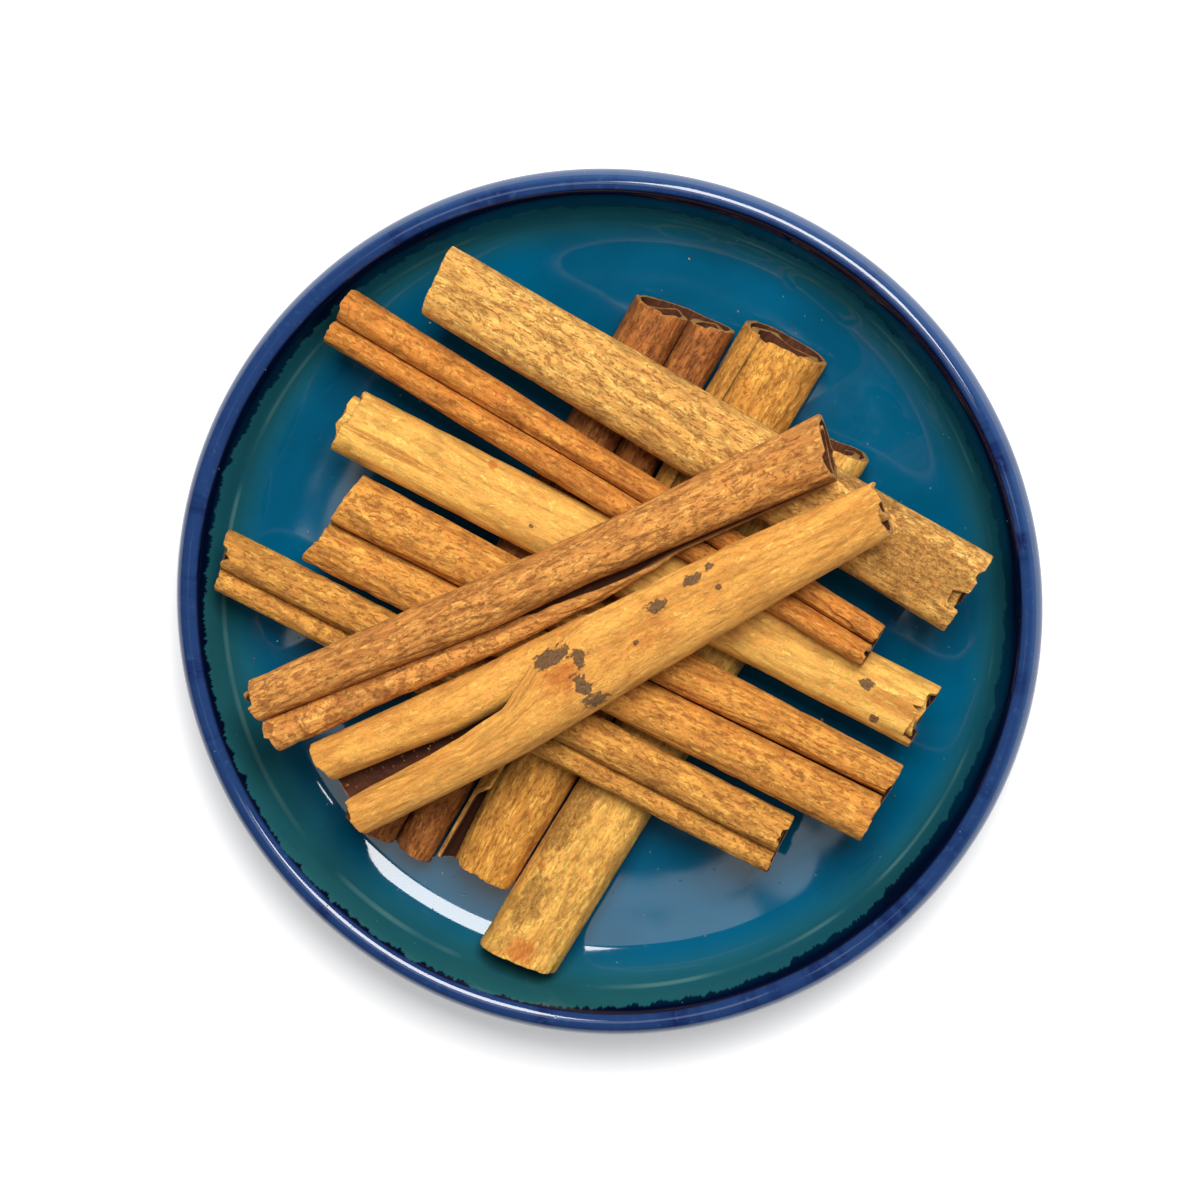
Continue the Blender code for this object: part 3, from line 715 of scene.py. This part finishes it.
def bark_material(name, stick, seed, bark):
    """Dry bark: mottled, streaked along the stick, flecked, pale where broken; darker inside, partly
    as painted shade of the slots, and with painted shade in its grooves and cracks.
    """
    made, tree, shader = new_material(name)
    base, light, dark = (rgb(*stick[key]) for key in ("base", "light", "dark"))
    uv = add(tree, "UVMap", uv_map="bark").outputs[0]

    def grain(along, across, **more):
        """Noise whose bumps are `along` by `across` mm on the sheet."""
        stretch = add(tree, "Mapping", {"Vector": uv, "Location": (seed * 3.7, seed * 5.3, 0.0),
                                        "Scale": (100 / along, 100 / across, 1.0)}).outputs[0]
        return noise(tree, stretch, **more)

    relief, inside, cut = fields(tree, "sheet")[:3]
    crust, rust, granular = fields(tree, "stains")[:3]
    vein = fields(tree, "veins")[0]

    mottle = grain(9.0, 4.5, detail=4.0)
    patch = grain(2.6, 1.3, detail=9.0, roughness=0.78, distortion=0.5)
    streak = grain(9.0, 0.8, detail=6.0, roughness=0.7, distortion=0.4)
    fleck = grain(1.1, 0.42, detail=7.0, roughness=0.78, distortion=0.5)
    glint = grain(1.9, 0.7, detail=7.0, roughness=0.75, distortion=0.6)
    fibre = grain(2.5, 0.16, detail=3.0, roughness=0.7)
    speck = grain(0.42, 0.3, detail=3.0, roughness=0.6)

    shade = part_way(dark, base, 0.3)
    colour = mixed(tree, between(tree, mottle, 0.36, 0.62),
                   part_way(base, dark, 0.25), part_way(base, light, 0.3))
    streaks = times(tree, between(tree, streak, 0.48, 0.66), stick["streaks"])
    colour = mixed(tree, streaks, colour, shade)
    # Blotches crowd together in some places and leave others bare.
    crowded = scaled(tree, mottle, 0.3, scaled(
        tree, patch, 0.75, -0.15))
    blotches = between(tree, crowded, 0.355, 0.43)
    blotches = times(tree, blotches, stick["flecks"])
    colour = mixed(tree, times(tree, blotches, 0.9), colour, shade)
    glints = times(tree, between(tree, glint, 0.51, 0.58), 0.85)
    colour = mixed(tree, glints, colour, light)
    flecks = times(tree, between(tree, scaled(
        tree, blotches, 0.1, fleck), 0.55, 0.6), 1.15 * stick["flecks"])
    colour = mixed(tree, flecks, colour, dark)
    # Painted shade: grooves, pocks and cracks darkened towards the dark bark colour.
    colour = mixed(tree, times(tree, relief, 0.6), colour, dimmed(dark, 0.6))
    fibres = scaled(tree, fibre, 0.7, scaled(tree, speck, 0.5, 0.4))
    colour = mixed(tree, 1.0, colour, add(
        tree, "CombineColor", {0: fibres, 1: fibres, 2: fibres}).outputs[0], "MULTIPLY")

    blot = grain(1.7, 1.1, detail=7.0, roughness=0.72, distortion=0.4)

    def stain(field, low=0.5, high=0.62, spread=3.2):
        """A mark whose rim is broken up by blots."""
        uneven = scaled(tree, blot, spread, worked(
            tree, "SUBTRACT", field, spread / 2))
        return times(tree, between(tree, uneven, low, high),
                      between(tree, field, 0.08, 0.2))

    rusted = times(tree, stain(rust, 0.3, 1.0, 2.0), 0.75)
    colour = mixed(tree, rusted, colour, tuple(bark.rust_colour))
    veined = times(tree, between(tree, times(
        tree, vein, between(tree, streak, 0.38, 0.56)), 0.1, 0.6), 0.7)
    colour = mixed(tree, veined, colour, dark)
    grainy = stain(granular, 0.3, 0.6, 2.0)
    grit = grain(0.7, 0.5, detail=8.0, roughness=0.85)
    grain_colour = mixed(tree, between(tree, grit, 0.42, 0.6),
                         dimmed(dark, 0.55), dimmed(base, 0.62))
    colour = mixed(tree, times(tree, grainy, 0.75), colour, grain_colour)
    crusted = stain(crust)
    crust_colour = mixed(tree, between(tree, grit, 0.36, 0.6),
                         rgb(92, 54, 32), tuple(bark.crust_colour))
    colour = mixed(tree, times(tree, crusted, 0.9), colour, crust_colour)
    # The inner side: partly the inner bark's own darker brown, partly painted shade of the slots and
    # windings.
    inner_colour_and_shade = mixed(tree, between(tree, streak, 0.35, 0.65),
                         dimmed(bark.inner_colour_and_shade, 0.7), tuple(bark.inner_colour_and_shade))
    colour = mixed(tree, inside, colour, inner_colour_and_shade)
    edge_colour = mixed(tree, between(tree, speck, 0.35, 0.65),
                        dimmed(bark.cut_colour, 0.6), tuple(bark.cut_colour))
    colour = mixed(tree, between(tree, cut, 0.3, 0.9), colour, edge_colour)
    tree.links.new(colour, shader.inputs["Base Color"])
    shader.inputs["Roughness"].default_value = 0.72
    shader.inputs["Specular IOR Level"].default_value = 0.3

    height = scaled(tree, flecks, -0.9, scaled(
        tree, glints, 0.5, times(tree, fibre, 0.8)))
    height = scaled(tree, speck, 0.5, height)
    height = scaled(tree, crusted, times(tree, speck, 4.0), height)
    height = scaled(tree, grainy, times(tree, speck, 1.5), height)
    bump = add(tree, "Bump", {"Height": height, "Strength": 0.7, "Distance": 0.0002})
    tree.links.new(bump.outputs[0], shader.inputs["Normal"])
    return made


def build_stick(name, bark):
    stick = STICKS[name]
    seed = 101 + 53 * list(STICKS).index(name)
    mesh = stick_mesh(name + "_bark", stick, seed, bark)
    piece = bpy.data.objects.new(name + "_bark", mesh)
    bpy.context.scene.collection.objects.link(piece)
    mesh.materials.append(bark_material(name + "_finish", stick, seed % 29, bark))
    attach(piece, "root")
    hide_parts(name)
    return piece


# ---------------------------------------------------------------- dish

PROFILE_INSIDE = [(0.0, 6.0), (20.0, 6.2), (40.0, 6.7), (46.5, 7.4), (49.2, 8.9), (50.5, 11.0),
                  (51.5, 14.0), (52.6, 16.8), (53.3, 17.7), (54.3, 18.0), (55.2, 17.6),
                  (55.9, 16.3), (56.0, 15.0), (55.2, 12.4), (52.5, 8.4), (46.5, 4.2), (36.5, 2.0),
                  (35.0, 0.4)]
GLAZE_SHIFT = (0.0004, 0.0004, 0.0)   # the glaze pooled a little off the dish's middle
# The key light's side, where the wall and the lip's inner slope face away from the light: the navy is
# carried further there as painted shade.
TOWARD_KEY = (0.7, 0.7, 0.0)           # side on which the navy runs further down
PROFILE_FOOT = [(34.6, 0.0), (32.4, 0.0), (32.0, 0.4), (31.0, 1.6), (0.0, 1.6)]
DISH_RADIUS = 56.0
LEAN_SIDE = 135        # degrees: the lip is longest across toward this side
FOOT_TOP = 5           # in mm; below this the outside stays exactly as turned
WALL_FROM = 10
LIP_DIP = 0.06


def rounded(points, step):
    """Points every `step` mm or so on a smooth curve through the given ones."""
    points = np.array(points)
    padded = np.concatenate([points[:1], points, points[-1:]])
    curve = []
    for index in range(len(points) - 1):
        p0, p1, p2, p3 = padded[index:index + 4]
        count = max(2, int(round(np.linalg.norm(p2 - p1) / step)))
        d1, d2, d3 = (max(np.linalg.norm(b - a), 1e-6) ** 0.5
                      for a, b in ((p0, p1), (p1, p2), (p2, p3)))
        m1 = ((p1 - p0) / d1 - (p2 - p0) / (d1 + d2) + (p2 - p1) / d2) * d2 if index else p2 - p1
        m2 = ((p2 - p1) / d2 - (p3 - p1) / (d2 + d3) + (p3 - p2) / d3) * d2
        if index == len(points) - 2:
            m2 = p2 - p1
        for t in np.arange(count) / count:
            curve.append((2 * t**3 - 3 * t**2 + 1) * p1 + (t**3 - 2 * t**2 + t) * m1
                         + (-2 * t**3 + 3 * t**2) * p2 + (t**3 - t**2) * m2)
    return np.array(curve + [points[-1]])


def dish_mesh(dish):
    """The turned dish, its lip a little out of round and its glaze faintly uneven."""
    inside = rounded(PROFILE_INSIDE, 0.7)
    foot = np.array(PROFILE_FOOT)
    profile = np.concatenate([inside, foot])[1:-1]
    radius, height = profile[:, 0][:, None], profile[:, 1][:, None]
    angle = np.arange(dish.steps)[None, :] * 2 * math.pi / dish.steps
    wave = dish.lip_wave / MM * (radius / DISH_RADIUS) ** 2
    wave = wave * np.cos(2 * (angle - math.radians(LEAN_SIDE)))
    x, y = (radius + wave) * np.cos(angle), (radius + wave) * np.sin(angle)
    uneven = 0.05 * layered_bumps(x / 9.0 + 40, y / 9.0 + 40, 5)
    uneven = uneven * ((radius < 52) & (height > FOOT_TOP))
    lip_uneven = LIP_DIP * bumps(angle * 18 / math.pi + 3, radius / 3.0, 9, 36) * (radius > 50)
    z = height + uneven + lip_uneven - LIP_DIP * (height > WALL_FROM)
    points = np.stack([x, y, z], axis=2).reshape(-1, 3) * MM
    rows, steps = len(profile), dish.steps
    middles = [(0, 0, PROFILE_INSIDE[0][1] * MM), (0, 0, PROFILE_FOOT[-1][1] * MM)]
    points = np.concatenate([points, middles])
    here = np.arange(rows - 1)[:, None] * steps + np.arange(steps)[None, :]
    beside = np.arange(rows - 1)[:, None] * steps + (np.arange(steps)[None, :] + 1) % steps
    faces = np.stack([here, here + steps, beside + steps, beside], axis=2)
    faces = faces.reshape(-1, 4).tolist()
    last = (rows - 1) * steps
    for step in range(steps):
        following = (step + 1) % steps
        faces.append([rows * steps, step, following])
        faces.append([rows * steps + 1, last + following, last + step])
    mesh = bpy.data.meshes.new("dish_glazed")
    mesh.from_pydata(points, [], faces)
    mesh.validate()
    mesh.shade_smooth()
    mesh.set_sharp_from_angle(angle=math.radians(40))
    return mesh


def glaze_material(dish):
    """Teal glaze that thins to green up the floor, pools navy under the lip, and turns blue on it; the
    navy carries painted shade on the key light's side, and a pale ring at the wall's foot is a painted
    reflection.
    """
    made, tree, shader = new_material("glaze")
    place = add(tree, "TexCoord").outputs["Object"]
    parts = add(tree, "SeparateXYZ", {0: place}).outputs
    offset = vectors(tree, "ADD", place, GLAZE_SHIFT)[0]
    flat = vectors(tree, "MULTIPLY", offset, (1.0, 1.0, 0.0))[0]
    radius = times(tree, vectors(tree, "LENGTH", flat)["Value"], 1000.0)
    around = vectors(tree, "NORMALIZE", flat)[0]
    height = times(tree, parts[2], 1000.0)

    teeth = noise(tree, around, 22.0, 5.0, 0.75)
    sweep = noise(tree, around, 2.2, 2.0, 0.5)
    cloud = noise(tree, place, 60.0, 4.0, 0.55)
    drift = noise(tree, place, 25.0, 3.0, 0.5)
    fine = noise(tree, place, 900.0, 3.0, 0.6)

    # Navy runs down from the lip to an uneven line of drips: pooled glaze, reaching further down on
    # the key light's side as painted shade.
    reach = scaled(tree, teeth, -2.4, 52.9)
    reach = scaled(tree, sweep, -1.6, reach)
    facing = vectors(tree, "DOT_PRODUCT", around, TOWARD_KEY)["Value"]
    reach = scaled(tree, facing, -0.4, worked(tree, "ADD", reach, 0.75))
    navy = between(tree, worked(tree, "SUBTRACT", radius, reach), -0.12, 0.12)
    # Green lies between the drips and the teal floor.
    green_from = scaled(tree, drift, 5.0, 45.4)
    green = between(tree, worked(tree, "SUBTRACT", radius, green_from), -2.5, 4.0)
    green = times(tree, green, scaled(tree, cloud, 0.8, 0.5))
    teal = mixed(tree, between(tree, cloud, 0.3, 0.7), dimmed(dish.teal, 0.82),
                 dimmed(dish.teal, 1.12))
    pool = between(tree, noise(tree, place, 45.0, 3.0, 0.6), 0.64, 0.76)
    teal = mixed(tree, times(tree, pool, 0.5), teal, rgb(0, 48, 84))
    colour = mixed(tree, green, teal, tuple(dish.green))
    # A thin pale ring at the foot of the wall, broken round the dish: painted reflection of the room
    # in the curve between floor and wall.
    ring = flipped(tree, between(tree, worked(
        tree, "ABSOLUTE", worked(tree, "SUBTRACT", radius, 50.2)), 0.06, 0.3))
    ring = times(tree, ring, between(tree, sweep, 0.42, 0.6))
    colour = mixed(tree, times(tree, ring, 0.35), colour, rgb(120, 160, 150))
    colour = mixed(tree, navy, colour, tuple(dish.navy))

    # The lip's blue, brushed darker in places and lighter at its outer edge.
    brush = noise(tree, vectors(tree, "MULTIPLY", around, (9.0, 9.0, 9.0))[0], 1.0, 5.0, 0.65)
    lip_colour = mixed(tree, times(tree, between(tree, brush, 0.5, 0.68), 0.8),
                       tuple(dish.lip_blue), tuple(dish.brush_blue))
    lip_colour = mixed(tree, times(tree, between(tree, fine, 0.55, 0.75), 0.25),
                       lip_colour, rgb(70, 98, 138))
    outside = between(tree, worked(tree, "SUBTRACT", radius, 55.1), -0.2, 0.5)
    lip_colour = mixed(tree, times(tree, outside, 0.5), lip_colour, rgb(64, 92, 133))
    # On the key light's side the navy also covers more of the lip's inner slope: painted shade.
    lip_line = scaled(tree, facing, 0.9, scaled(tree, sweep, 0.5, 53.0))
    on_lip = between(tree, worked(tree, "SUBTRACT", radius, lip_line), -0.15, 0.25)
    under = worked(tree, "GREATER_THAN", add(tree, "SeparateXYZ", {0: add(
        tree, "NewGeometry").outputs["True Normal"]}).outputs[2], -0.1)
    on_lip = worked(tree, "MAXIMUM", on_lip, flipped(tree, under))
    colour = mixed(tree, on_lip, colour, lip_colour)

    # Pinholes and rusty specks in the glaze, and bare clay on the foot.
    cells = add(tree, "TexVoronoi", {"Vector": place, "Scale": 480.0})
    chance = add(tree, "SeparateColor", {0: cells.outputs["Color"]}).outputs
    dot = flipped(tree, between(tree, cells.outputs["Distance"], 0.03, 0.075))
    pale_dot = times(tree, dot, worked(tree, "GREATER_THAN", chance[0], 0.55))
    rusty_dot = times(tree, dot, worked(tree, "GREATER_THAN", chance[1], 0.94))
    colour = mixed(tree, times(tree, pale_dot, 0.5), colour, rgb(90, 140, 155))
    colour = mixed(tree, times(tree, rusty_dot, 0.7), colour, rgb(150, 96, 70))
    bare = flipped(tree, between(tree, height, 0.5, 0.8))
    colour = mixed(tree, bare, colour, tuple(dish.clay))
    tree.links.new(colour, shader.inputs["Base Color"])
    rough = scaled(tree, bare, 0.7, scaled(tree, fine, 0.04, 0.04))
    tree.links.new(rough, shader.inputs["Roughness"])
    shader.inputs["IOR"].default_value = 1.5
    bump = add(tree, "Bump", {"Height": scaled(tree, dot, -0.5, drift),
                              "Strength": 0.15, "Distance": 0.0004})
    tree.links.new(bump.outputs[0], shader.inputs["Normal"])
    return made


# ---------------------------------------------------------------- crumbs
CRUMB_REACH = 46      # in mm from the dish's middle
OPEN_LENGTH = 17.0    # how far in from its start the stick's slot is open
SLOT_FLOOR = 2.3      # depth of the slot below the stick's middle


def crumb_places(rng, crumbs):
    """Where the crumbs lie, in mm: on the dish's floor, and in the near top stick's open slot."""
    places = []
    for _ in range(crumbs.on_floor):
        radius, angle = CRUMB_REACH * math.sqrt(rng.uniform()), rng.uniform(0, 2 * math.pi)
        height = np.interp(radius, [p[0] for p in PROFILE_INSIDE[:8]],
                           [p[1] for p in PROFILE_INSIDE[:8]])
        places.append((radius * math.cos(angle), radius * math.sin(angle), height))
    stick = STICKS["stick_top_near"]
    start, end = Vector(stick["start"]), Vector(stick["end"])
    forward = (end - start).normalized()
    sideways = Vector((0, 0, 1)).cross(forward).normalized()
    upward = forward.cross(sideways)
    for _ in range(crumbs.in_slot):
        along, across = rng.uniform(0.8, OPEN_LENGTH), rng.normal(0.2, 0.6)
        places.append(start + forward * along - sideways * across - upward * SLOT_FLOOR)
    return places


def crumb_mesh(crumbs):
    """Flat little flakes of bark, each with eight faces."""
    rng = np.random.default_rng(crumbs.seed)
    corners = np.array([(1, 0, 0), (0, 1, 0), (-1, 0, 0), (0, -1, 0), (0, 0, 1), (0, 0, -1)])
    vertices, faces = [], []
    for place in crumb_places(rng, crumbs):
        size = crumbs.size / MM * rng.uniform(0.4, 1.0)
        turn = rng.uniform(0, 2 * math.pi)
        flake = corners * size * rng.uniform(0.6, 1.1, (6, 1)) * (1, rng.uniform(0.4, 0.9), 0.4)
        x = flake[:, 0] * math.cos(turn) - flake[:, 1] * math.sin(turn)
        y = flake[:, 0] * math.sin(turn) + flake[:, 1] * math.cos(turn)
        first = len(vertices)
        lift = size * 0.25
        vertices += [(place[0] + a, place[1] + b, place[2] + c + lift)
                     for a, b, c in zip(x, y, flake[:, 2])]
        for side in range(4):
            near, far = first + side, first + (side + 1) % 4
            faces += [(near, far, first + 4), (far, near, first + 5)]
    mesh = bpy.data.meshes.new("crumbs")
    mesh.from_pydata(np.array(vertices) * MM, [], faces)
    return mesh


def crumb_material():
    """Crumbs from rusty brown to pale tan."""
    made, tree, shader = new_material("crumb_bark")
    tone = noise(tree, add(tree, "TexCoord").outputs["Object"], 90.0, 2.0)
    colour = mixed(tree, between(tree, tone, 0.4, 0.6), rgb(128, 70, 32), rgb(206, 146, 84))
    tree.links.new(colour, shader.inputs["Base Color"])
    shader.inputs["Roughness"].default_value = 0.8
    return made


# ---------------------------------------------------------------- operators

KEY_LIGHT = (0.5, (0.19, 0.44, 0.95))     # size and place, in metres
TOP_LIGHT = (0.35, (-0.05, 0.1, 1.1))
FLOOR_GLOW = 0.24                         # keeps the floor white to the camera
WORLD_IN_GLAZE = 0.05                     # brightness of the room as the glaze mirrors it
VIEW_SHIFT = (-0.0046, 0.0046)
AIM_HEIGHT = 0.016

class StickLayer:
    """What the operators for the three layers of sticks share."""
    bl_options = {"REGISTER", "UNDO"}
    layer = ""

    def execute(self, context):
        for name in STICKS:
            if name.startswith(self.layer):
                build_stick(name, context.scene.bark_settings)
        return {"FINISHED"}


class CINNAMON_OT_bottom_sticks(StickLayer, bpy.types.Operator):
    """Builds the three sticks that lie on the dish's floor"""
    bl_idname = "cinnamon.bottom_sticks"
    bl_label = "Bottom Sticks"
    layer = "stick_bottom"


class CINNAMON_OT_middle_sticks(StickLayer, bpy.types.Operator):
    """Builds the five sticks that lie across the bottom ones"""
    bl_idname = "cinnamon.middle_sticks"
    bl_label = "Middle Sticks"
    layer = "stick_middle"


class CINNAMON_OT_top_sticks(StickLayer, bpy.types.Operator):
    """Builds the two sticks on top"""
    bl_idname = "cinnamon.top_sticks"
    bl_label = "Top Sticks"
    layer = "stick_top"


class CINNAMON_OT_dish(bpy.types.Operator):
    """Builds the glazed dish"""
    bl_idname = "cinnamon.dish"
    bl_label = "Dish"
    bl_options = {"REGISTER", "UNDO"}

    def execute(self, context):
        settings = context.scene.dish_settings
        piece = bpy.data.objects.new("dish_glazed", dish_mesh(settings))
        context.scene.collection.objects.link(piece)
        piece.data.materials.append(glaze_material(settings))
        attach(piece, "root")
        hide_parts("dish")
        return {"FINISHED"}


class CINNAMON_OT_crumbs(bpy.types.Operator):
    """Scatters crumbs of bark on the dish's floor and in the open stick"""
    bl_idname = "cinnamon.crumbs"
    bl_label = "Crumbs"
    bl_options = {"REGISTER", "UNDO"}

    def execute(self, context):
        piece = bpy.data.objects.new("crumbs", crumb_mesh(context.scene.crumb_settings))
        context.scene.collection.objects.link(piece)
        piece.data.materials.append(crumb_material())
        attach(piece, "root")
        return {"FINISHED"}


class CINNAMON_OT_stage(bpy.types.Operator):
    """Makes the pale floor, the soft lights and the camera"""
    bl_idname = "cinnamon.stage"
    bl_label = "Stage"
    bl_options = {"REGISTER", "UNDO"}

    def execute(self, context):
        settings = context.scene.stage_settings
        scene = context.scene
        scene.view_settings.view_transform = "Standard"
        self.floor(scene)
        self.world(scene, settings.world_strength)
        self.soft_light(scene, "key_light", settings.key_power, *KEY_LIGHT)
        self.soft_light(scene, "top_light", settings.fill_power, *TOP_LIGHT)
        self.camera(scene, settings)
        return {"FINISHED"}

    def floor(self, scene):
        mesh = bpy.data.meshes.new("floor")
        reach, drop = 1.5, -0.0002
        mesh.from_pydata([(-reach, -reach, drop), (reach, -reach, drop), (reach, reach, drop),
                          (-reach, reach, drop)], [], [(0, 1, 2, 3)])
        floor = bpy.data.objects.new("floor", mesh)
        scene.collection.objects.link(floor)
        made, tree, shader = new_material("pale_floor")
        shader.inputs["Base Color"].default_value = (0.93, 0.93, 0.93, 1)
        shader.inputs["Roughness"].default_value = 0.9
        shader.inputs["Specular IOR Level"].default_value = 0.1
        seen = add(tree, "LightPath").outputs["Is Camera Ray"]
        shader.inputs["Emission Color"].default_value = (1, 1, 1, 1)
        tree.links.new(times(tree, seen, FLOOR_GLOW), shader.inputs["Emission Strength"])
        mesh.materials.append(made)

    def world(self, scene, strength):
        world = bpy.data.worlds.new("soft_room")
        world.use_nodes = True
        tree = world.node_tree
        background = tree.nodes["Background"]
        background.inputs["Color"].default_value = (1, 1, 1, 1)
        path = add(tree, "LightPath").outputs
        level = add(tree, "Mix", {0: path["Is Glossy Ray"], 2: strength, 3: WORLD_IN_GLAZE}).outputs[0]
        level = add(tree, "Mix", {0: path["Is Camera Ray"], 2: level, 3: 1.0}).outputs[0]
        tree.links.new(level, background.inputs["Strength"])
        scene.world = world

    def soft_light(self, scene, name, power, size, place):
        light = bpy.data.lights.new(name, "AREA")
        light.energy = power
        light.size = size
        lamp = bpy.data.objects.new(name, light)
        lamp.location = place
        lamp.rotation_euler = (-Vector(place)).to_track_quat("-Z", "Y").to_euler()
        scene.collection.objects.link(lamp)

    def camera(self, scene, settings):
        data = bpy.data.cameras.new("camera")
        data.lens = data.sensor_width * settings.distance / settings.view_width
        data.shift_x, data.shift_y = VIEW_SHIFT
        data.clip_start, data.clip_end = 0.01, 10.0
        back = Vector((math.sin(settings.turn) * math.sin(settings.tilt),
                       -math.cos(settings.turn) * math.sin(settings.tilt),
                       math.cos(settings.tilt)))
        up = (Vector((0, 1, 0)) - back * back.y).normalized()
        right = up.cross(back)
        camera = bpy.data.objects.new("camera", data)
        turned = Matrix((right, up, back)).transposed().to_4x4()
        place = Vector((0, 0, AIM_HEIGHT)) + back * settings.distance
        camera.matrix_world = Matrix.Translation(place) @ turned
        scene.collection.objects.link(camera)
        scene.camera = camera


class CINNAMON_PT_panel(bpy.types.Panel):
    """Lists the pieces of the dish of cinnamon sticks"""
    bl_label = "Cinnamon Sticks"
    bl_idname = "CINNAMON_PT_panel"
    bl_space_type = "VIEW_3D"
    bl_region_type = "UI"
    bl_category = "Cinnamon"

    def draw(self, context):
        layout = self.layout
        for operator in OPERATORS:
            layout.operator(operator.bl_idname)
        for key in SETTINGS:
            box = layout.box()
            group = getattr(context.scene, key)
            for prop in group.bl_rna.properties:
                if prop.identifier not in ("rna_type", "name"):
                    box.prop(group, prop.identifier)


OPERATORS = (CINNAMON_OT_stage, CINNAMON_OT_dish, CINNAMON_OT_bottom_sticks,
             CINNAMON_OT_middle_sticks, CINNAMON_OT_top_sticks, CINNAMON_OT_crumbs)
SETTINGS = {"bark_settings": BarkSettings, "dish_settings": DishSettings,
            "crumb_settings": CrumbSettings, "stage_settings": StageSettings}


def register():
    for group in (*SETTINGS.values(), *OPERATORS, CINNAMON_PT_panel):
        bpy.utils.register_class(group)
    for key, group in SETTINGS.items():
        setattr(bpy.types.Scene, key, bpy.props.PointerProperty(type=group))


def unregister():
    for key in SETTINGS:
        delattr(bpy.types.Scene, key)
    for group in reversed((*SETTINGS.values(), *OPERATORS, CINNAMON_PT_panel)):
        bpy.utils.unregister_class(group)


def main():
    register()
    bpy.ops.cinnamon.stage()
    bpy.ops.cinnamon.dish()
    bpy.ops.cinnamon.bottom_sticks()
    bpy.ops.cinnamon.middle_sticks()
    bpy.ops.cinnamon.top_sticks()
    bpy.ops.cinnamon.crumbs()


if __name__ == "__main__":
    main()
